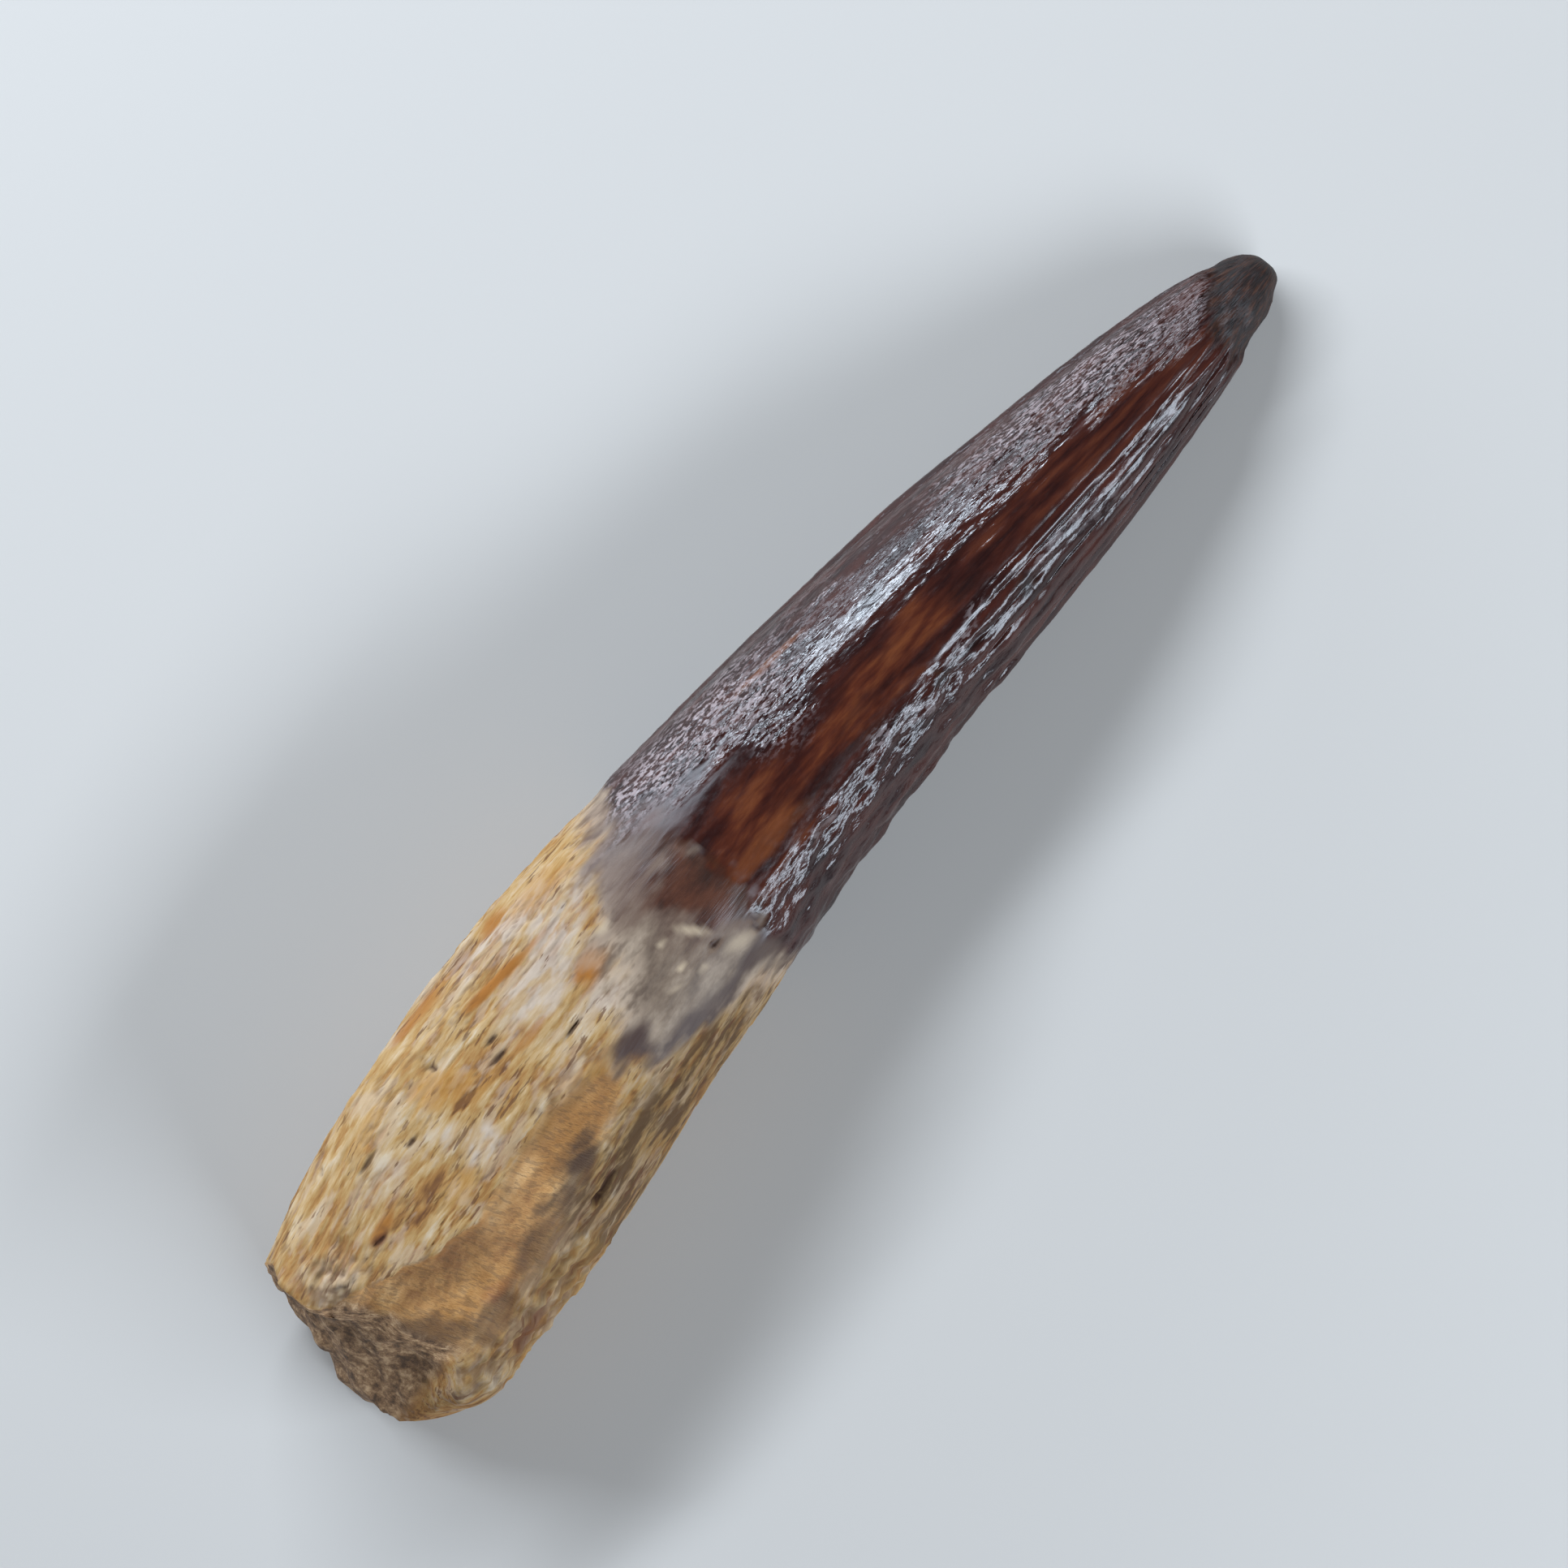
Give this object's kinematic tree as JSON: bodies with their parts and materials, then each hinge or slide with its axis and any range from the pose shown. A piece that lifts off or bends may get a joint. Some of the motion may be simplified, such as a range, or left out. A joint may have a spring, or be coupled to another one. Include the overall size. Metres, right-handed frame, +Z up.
{
  "type": "spinosaurus tooth",
  "caption": "Fossil tooth lying on its side: a tall, slightly curved, glossy fluted crown on a stout root that is snapped off and spalled.",
  "frame": {"origin": "middle of the bounding box's base, on the surface that the tooth lies on", "axes": "+X from the broken root to the worn tip, +Y to the crown's convex front edge, +Z up"},
  "size_m": [0.09, 0.0194, 0.0145],
  "materials": {
    "tooth": "glossy dark red-brown enamel on the crown, matte pale ochre fibrous dentine on the root"
  },
  "bodies": {
    "root": {"tooth": "tooth"}
  },
  "joints": []
}
